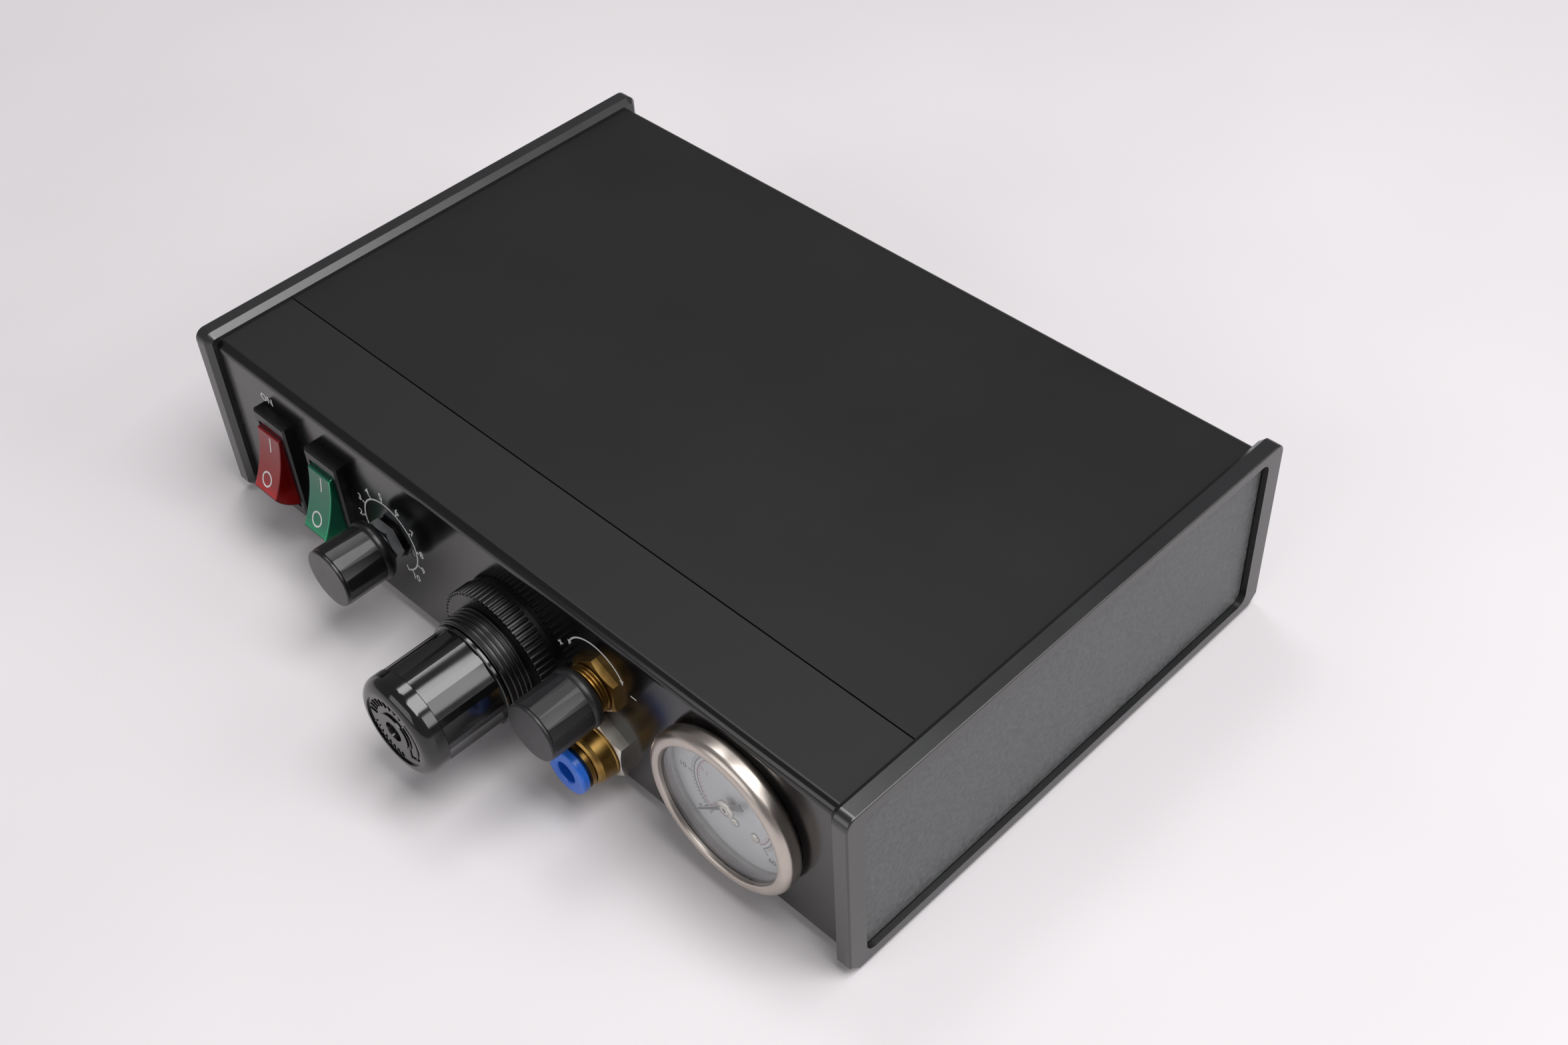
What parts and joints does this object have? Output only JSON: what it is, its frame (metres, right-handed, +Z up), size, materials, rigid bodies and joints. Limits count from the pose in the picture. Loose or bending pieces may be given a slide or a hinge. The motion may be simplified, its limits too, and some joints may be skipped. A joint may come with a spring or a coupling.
{
  "type": "bench dispensing controller",
  "caption": "Low bench controller in a dark metal case with rocker switches, timer knob, pressure regulator, vacuum valve, air outlet and gauge on its front",
  "frame": {"origin": "under the middle of the whole object's box, on the surface its feet stand on", "axes": "+X to the right along the front, +Y from the front panel to the back wall, +Z up"},
  "size_m": [0.235, 0.2, 0.0565],
  "materials": {
    "cover_satin_black": "black anodised extrusion, satin",
    "panel_gloss_black": "black lacquer, glossy",
    "frame_dark_grey": "moulded, smooth satin",
    "side_plate_textured": "fine spark-eroded texture",
    "foot_rubber": "matt",
    "plated_steel": "zinc plated",
    "bright_nickel": "bright nickel plate",
    "brass_plain": "turned brass",
    "red_lens": "clear moulding, red",
    "green_lens": "clear moulding, green",
    "black_nylon": "satin moulding",
    "black_gloss_moulding": "glossy moulding",
    "blue_release": "moulded acetal",
    "window_clear": "clear window",
    "dial_white": "white lacquer, matt",
    "needle_black": "black lacquer",
    "alloy_plain": "die cast, plain",
    "board_green": "solder resist",
    "coil_amber": "tape over winding",
    "hose_blue": "soft tube",
    "glass_fuse": "clear tube",
    "print_white": "screen printed white ink",
    "print_red": "screen printed red ink",
    "print_black": "screen printed black ink"
  },
  "bodies": {
    "case": {"front_panel": "panel_gloss_black", "main_cover": "cover_satin_black", "right_end_frame": "frame_dark_grey", "left_end_frame": "frame_dark_grey", "right_side_panel": "side_plate_textured", "left_side_panel": "side_plate_textured", "end_frame_screws": "plated_steel", "rubber_feet": "foot_rubber", "chassis_plate": "alloy_plain", "power_switch_body": "black_nylon", "mode_switch_body": "black_nylon", "switch_terminals": "brass_plain", "time_pot_body": "plated_steel", "time_pot_washer": "plated_steel", "time_pot_nut": "bright_nickel", "regulator_body": "alloy_plain", "regulator_bonnet": "black_nylon", "regulator_panel_ring": "black_nylon", "vacuum_valve_body": "brass_plain", "vacuum_panel_nut": "brass_plain", "vacuum_gland_ring": "brass_plain", "outlet_body": "brass_plain", "outlet_nuts": "bright_nickel", "gauge_case": "plated_steel", "gauge_bezel": "bright_nickel", "gauge_lens": "window_clear", "gauge_dial": "dial_white", "gauge_dial_screws": "plated_steel", "gauge_movement": "brass_plain", "gauge_clamp": "plated_steel", "mains_inlet": "black_nylon", "mains_pins": "bright_nickel", "foot_switch_jack": "black_nylon", "foot_switch_jack_nut": "bright_nickel", "exhaust_silencer": "brass_plain", "air_inlet_body": "brass_plain", "air_inlet_nuts": "bright_nickel", "transformer_core": "plated_steel", "transformer_winding": "coil_amber", "control_board": "board_green", "board_fixings": "brass_plain", "board_components": "black_nylon", "solenoid_valve": "alloy_plain", "solenoid_coil": "black_nylon", "vacuum_ejector": "alloy_plain", "air_tubes": "hose_blue"},
    "power_rocker_body": {"power_rocker": "red_lens"},
    "mode_rocker_body": {"mode_rocker": "green_lens"},
    "timer_dial": {"time_knob": "black_gloss_moulding", "time_pot_shaft": "alloy_plain"},
    "pressure_spindle": {"pressure_screw": "plated_steel"},
    "pressure_grip": {"pressure_knob": "black_gloss_moulding"},
    "vacuum_dial": {"vacuum_knob": "black_nylon", "vacuum_stem": "plated_steel"},
    "outlet_release": {"outlet_collet": "blue_release"},
    "inlet_release": {"air_inlet_collet": "blue_release"},
    "pointer": {"gauge_needle": "needle_black"},
    "fuse_tray": {"fuse_drawer": "black_nylon", "fuse": "glass_fuse"}
  },
  "joints": [
    {"name": "power_rocker_tilt", "type": "hinge", "parent": "case", "child": "power_rocker_body", "pos_m": [-0.0873, -0.0615, 0.0281], "axis": [1, 0, 0], "range_deg": [0, 36]},
    {"name": "mode_rocker_tilt", "type": "hinge", "parent": "case", "child": "mode_rocker_body", "pos_m": [-0.0649, -0.0615, 0.0281], "axis": [1, 0, 0], "range_deg": [0, 36]},
    {"name": "timer_turn", "type": "hinge", "parent": "case", "child": "timer_dial", "pos_m": [-0.0433, -0.075, 0.028], "axis": [0, 1, 0], "range_deg": [-150, 150]},
    {"name": "pressure_turn", "type": "hinge", "parent": "case", "child": "pressure_spindle", "pos_m": [0.0052, -0.085, 0.0245], "axis": [0, 1, 0], "range_deg": [-900, 900]},
    {"name": "pressure_pull", "type": "slide", "parent": "pressure_spindle", "child": "pressure_grip", "axis": [0, -1, 0], "range_m": [0, 0.003]},
    {"name": "vacuum_turn", "type": "hinge", "parent": "case", "child": "vacuum_dial", "pos_m": [0.0372, -0.075, 0.0356], "axis": [0, 1, 0], "range_deg": [-1260, 1260]},
    {"name": "outlet_release_push", "type": "slide", "parent": "case", "child": "outlet_release", "axis": [0, 1, 0], "range_m": [0, 0.0008]},
    {"name": "inlet_release_push", "type": "slide", "parent": "case", "child": "inlet_release", "axis": [0, -1, 0], "range_m": [0, 0.0008]},
    {"name": "pointer_turn", "type": "hinge", "parent": "case", "child": "pointer", "pos_m": [0.0808, -0.0635, 0.0292], "axis": [0, 1, 0], "range_deg": [0, 270], "stiffness_Nm_per_rad": 0.0005, "springref_deg": -17.19},
    {"name": "fuse_tray_pull", "type": "slide", "parent": "case", "child": "fuse_tray", "axis": [0, 1, 0], "range_m": [0, 0.015]}
  ]
}
